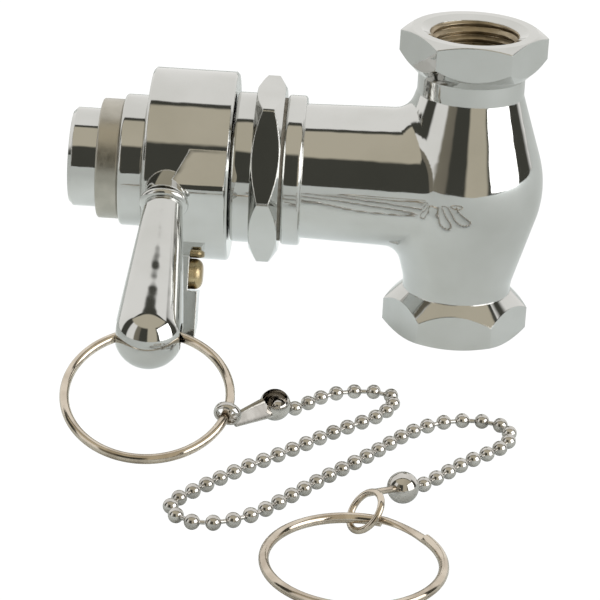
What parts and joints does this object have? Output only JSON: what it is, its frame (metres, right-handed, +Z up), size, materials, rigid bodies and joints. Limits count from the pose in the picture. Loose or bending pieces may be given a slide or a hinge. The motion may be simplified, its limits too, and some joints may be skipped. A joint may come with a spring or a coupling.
{
  "type": "self-closing shower valve",
  "caption": "Chromed globe-pattern shower valve with female ports above and below, a side bonnet and a sprung lever that a ball chain and pull ring draw down.",
  "frame": {"origin": "centre of the lower port's mouth, on the plane that the lower hexagon stands on", "axes": "+Z up along the run to the upper port; the bonnet points along -X and the lever comes forward along -Y"},
  "size_m": [0.1068, 0.1656, 0.0715],
  "materials": {
    "chrome_plate": "polished chrome plate on cast brass",
    "matte_plate": "satin plate",
    "raw_brass": "turned brass, dulled",
    "spring_steel": "drawn wire",
    "washer_rubber": "matt",
    "seal_fibre": "pressed fibre",
    "nickel_ring": "nickel plated, bright",
    "nickel_chain": "nickel plated, bright"
  },
  "bodies": {
    "valve": {"valve_body": "chrome_plate", "seat_ring": "raw_brass", "bonnet": "chrome_plate", "bonnet_gasket": "seal_fibre", "packing_ring": "seal_fibre", "packing_gland": "raw_brass", "retaining_collar": "chrome_plate", "lock_ring": "matte_plate", "end_cap": "chrome_plate", "return_spring": "spring_steel"},
    "lever": {"lever_hub": "chrome_plate", "lever_handle": "chrome_plate", "stop_pin": "raw_brass"},
    "stem": {"stem": "raw_brass", "cam_pin": "spring_steel", "disc_holder": "raw_brass", "seat_washer": "washer_rubber", "washer_screw": "raw_brass", "spring_collar": "raw_brass"},
    "lever_ring": {"lever_ring": "nickel_ring", "ring_coupling": "nickel_chain", "bead_chain": "nickel_chain", "bell_coupling": "nickel_chain", "coupling_loop": "nickel_chain"},
    "pull_ring": {"pull_ring": "nickel_ring"}
  },
  "joints": [
    {"name": "lever_turn", "type": "hinge", "parent": "valve", "child": "lever", "pos_m": [-0.0617, 0, 0.03575], "axis": [1, 0, 0], "range_deg": [0, 45], "stiffness_Nm_per_rad": 0.6, "springref_deg": -22.92},
    {"name": "stem_lift", "type": "slide", "parent": "lever", "child": "stem", "axis": [-1, 0, 0], "range_m": [0, 0.00401], "deforming": ["return_spring"]},
    {"name": "lever_ring_swing", "type": "hinge", "parent": "lever", "child": "lever_ring", "pos_m": [-0.0655, -0.05499, 0.01626], "axis": [1, 0, 0], "range_deg": [0, 60]},
    {"name": "pull_ring_swing", "type": "hinge", "parent": "lever_ring", "child": "pull_ring", "pos_m": [-0.0178, -0.1084, 0.0028], "axis": [1, 0, 0], "range_deg": [-60, 0]}
  ],
  "couplings": [
    {"joint": "stem_lift", "follows": "lever_turn", "m_per_rad": 0.005093}
  ]
}
